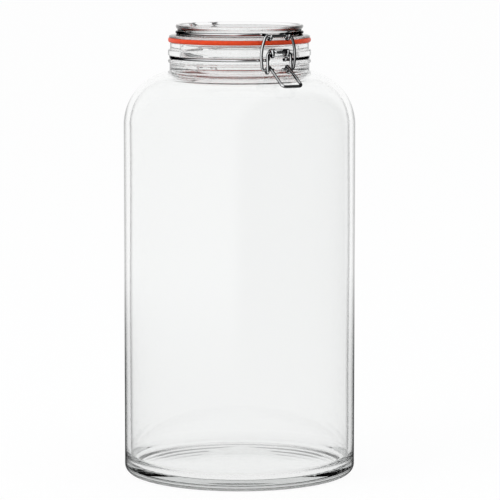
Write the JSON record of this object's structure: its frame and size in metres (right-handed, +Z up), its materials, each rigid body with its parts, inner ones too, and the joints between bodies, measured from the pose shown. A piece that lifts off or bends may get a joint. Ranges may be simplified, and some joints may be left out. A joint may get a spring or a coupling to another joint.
{
  "type": "glass storage jar",
  "caption": "Tall clip-top glass storage jar with a glass lid, rubber sealing ring, wire hinge and over-centre wire latch.",
  "frame": {"origin": "centre of the circle on which the jar stands", "axes": "+Z up along the jar's axis, -Y towards the clip, +Y towards the hinge, +X to the right of someone facing the clip"},
  "size_m": [0.165, 0.165, 0.3213],
  "materials": {
    "body_glass": "clear, smooth, slightly wavy",
    "lid_glass": "clear, smooth",
    "seal_rubber": "satin natural rubber",
    "bright_wire": "polished round wire"
  },
  "bodies": {
    "jar": {"jar_body": "body_glass", "neck_wire": "bright_wire"},
    "lid": {"lid": "lid_glass", "lid_wire": "bright_wire", "gasket": "seal_rubber"},
    "lever": {"closing_lever": "bright_wire"},
    "bail": {"pull_bail": "bright_wire"}
  },
  "joints": [
    {"name": "lid_hinge", "type": "hinge", "parent": "jar", "child": "lid", "pos_m": [0, 0.0565, 0.30061], "axis": [-1, 0, 0], "range_deg": [0, 160]},
    {"name": "lever_axle", "type": "hinge", "parent": "jar", "child": "lever", "pos_m": [0, -0.05506, 0.3033], "axis": [-1, 0, 0], "range_deg": [0, 95]},
    {"name": "bail_pivot", "type": "hinge", "parent": "lever", "child": "bail", "pos_m": [0, -0.05346, 0.292], "axis": [-1, 0, 0], "range_deg": [-49.5, 0]}
  ],
  "couplings": [
    {"joint": "bail_pivot", "follows": "lever_axle", "ratio": -0.52}
  ]
}
